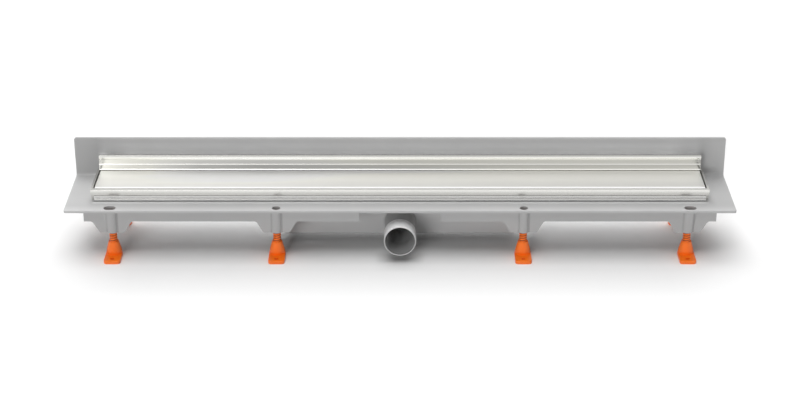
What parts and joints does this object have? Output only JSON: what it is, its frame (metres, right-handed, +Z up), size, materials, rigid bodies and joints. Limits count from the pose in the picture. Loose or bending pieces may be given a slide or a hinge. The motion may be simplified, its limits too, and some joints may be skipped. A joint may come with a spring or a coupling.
{
  "type": "linear shower drain",
  "caption": "Linear shower drain: moulded channel with tiling and wall flanges, steel cover in a frame, water trap, front outlet and levelling legs.",
  "frame": {"origin": "on the floor under the feet, midway along the drain and midway between the front feet and the back of the wall flange", "axes": "+X along the drain, -Y out of the outlet at the front, +Z up"},
  "size_m": [1.036, 0.1634, 0.144],
  "materials": {
    "channel_plastic": "fine matte moulded plastic",
    "outlet_plastic": "satin extruded pipe",
    "rail_steel": "brushed along its length",
    "base_aluminium": "satin extruded",
    "cover_steel": "fine brushed along its length",
    "bridge_steel": "plain sheet",
    "trap_plastic": "plain moulded plastic",
    "seal_rubber": "soft rubber",
    "leg_plastic": "satin moulded plastic"
  },
  "bodies": {
    "channel": {"channel_body": "channel_plastic", "outlet_spigot": "outlet_plastic", "front_rail": "rail_steel", "front_rail_base": "base_aluminium", "rear_rail": "rail_steel", "end_strip_left": "rail_steel", "end_strip_right": "rail_steel", "cover_plate": "cover_steel", "cover_bridge_1": "bridge_steel", "cover_bridge_2": "bridge_steel", "cover_bridge_3": "bridge_steel", "cover_bridge_4": "bridge_steel", "hair_strainer": "bridge_steel", "trap_inlet": "trap_plastic", "trap_cup": "trap_plastic", "trap_gasket": "seal_rubber"},
    "foot_1": {"leg_foot_1": "leg_plastic"},
    "screw_1": {"leg_screw_1": "leg_plastic"},
    "foot_2": {"leg_foot_2": "leg_plastic"},
    "screw_2": {"leg_screw_2": "leg_plastic"},
    "foot_3": {"leg_foot_3": "leg_plastic"},
    "screw_3": {"leg_screw_3": "leg_plastic"},
    "foot_4": {"leg_foot_4": "leg_plastic"},
    "screw_4": {"leg_screw_4": "leg_plastic"},
    "foot_5": {"leg_foot_5": "leg_plastic"},
    "screw_5": {"leg_screw_5": "leg_plastic"},
    "foot_6": {"leg_foot_6": "leg_plastic"},
    "screw_6": {"leg_screw_6": "leg_plastic"}
  },
  "joints": [
    {"name": "leg_1_height", "type": "slide", "parent": "channel", "child": "foot_1", "axis": [0, 0, -1], "range_m": [-0.014, 0.012]},
    {"name": "leg_1_screw_turn", "type": "hinge", "parent": "foot_1", "child": "screw_1", "pos_m": [-0.445, -0.04815, 0.04], "axis": [0, 0, 1], "range_deg": [-1085, 1265]},
    {"name": "leg_2_height", "type": "slide", "parent": "channel", "child": "foot_2", "axis": [0, 0, -1], "range_m": [-0.014, 0.012]},
    {"name": "leg_2_screw_turn", "type": "hinge", "parent": "foot_2", "child": "screw_2", "pos_m": [-0.191, -0.04815, 0.04], "axis": [0, 0, 1], "range_deg": [-1085, 1265]},
    {"name": "leg_3_height", "type": "slide", "parent": "channel", "child": "foot_3", "axis": [0, 0, -1], "range_m": [-0.014, 0.012]},
    {"name": "leg_3_screw_turn", "type": "hinge", "parent": "foot_3", "child": "screw_3", "pos_m": [0.191, -0.04815, 0.04], "axis": [0, 0, 1], "range_deg": [-1085, 1265]},
    {"name": "leg_4_height", "type": "slide", "parent": "channel", "child": "foot_4", "axis": [0, 0, -1], "range_m": [-0.014, 0.012]},
    {"name": "leg_4_screw_turn", "type": "hinge", "parent": "foot_4", "child": "screw_4", "pos_m": [0.445, -0.04815, 0.04], "axis": [0, 0, 1], "range_deg": [-1085, 1265]},
    {"name": "leg_5_height", "type": "slide", "parent": "channel", "child": "foot_5", "axis": [0, 0, -1], "range_m": [-0.014, 0.012]},
    {"name": "leg_5_screw_turn", "type": "hinge", "parent": "foot_5", "child": "screw_5", "pos_m": [-0.445, 0.06525, 0.04], "axis": [0, 0, 1], "range_deg": [-1085, 1265]},
    {"name": "leg_6_height", "type": "slide", "parent": "channel", "child": "foot_6", "axis": [0, 0, -1], "range_m": [-0.014, 0.012]},
    {"name": "leg_6_screw_turn", "type": "hinge", "parent": "foot_6", "child": "screw_6", "pos_m": [0.445, 0.06525, 0.04], "axis": [0, 0, 1], "range_deg": [-1085, 1265]}
  ],
  "couplings": [
    {"joint": "leg_1_screw_turn", "follows": "leg_1_height", "rad_per_m": -1570.8},
    {"joint": "leg_2_screw_turn", "follows": "leg_2_height", "rad_per_m": -1570.8},
    {"joint": "leg_3_screw_turn", "follows": "leg_3_height", "rad_per_m": -1570.8},
    {"joint": "leg_4_screw_turn", "follows": "leg_4_height", "rad_per_m": -1570.8},
    {"joint": "leg_5_screw_turn", "follows": "leg_5_height", "rad_per_m": -1570.8},
    {"joint": "leg_6_screw_turn", "follows": "leg_6_height", "rad_per_m": -1570.8}
  ]
}
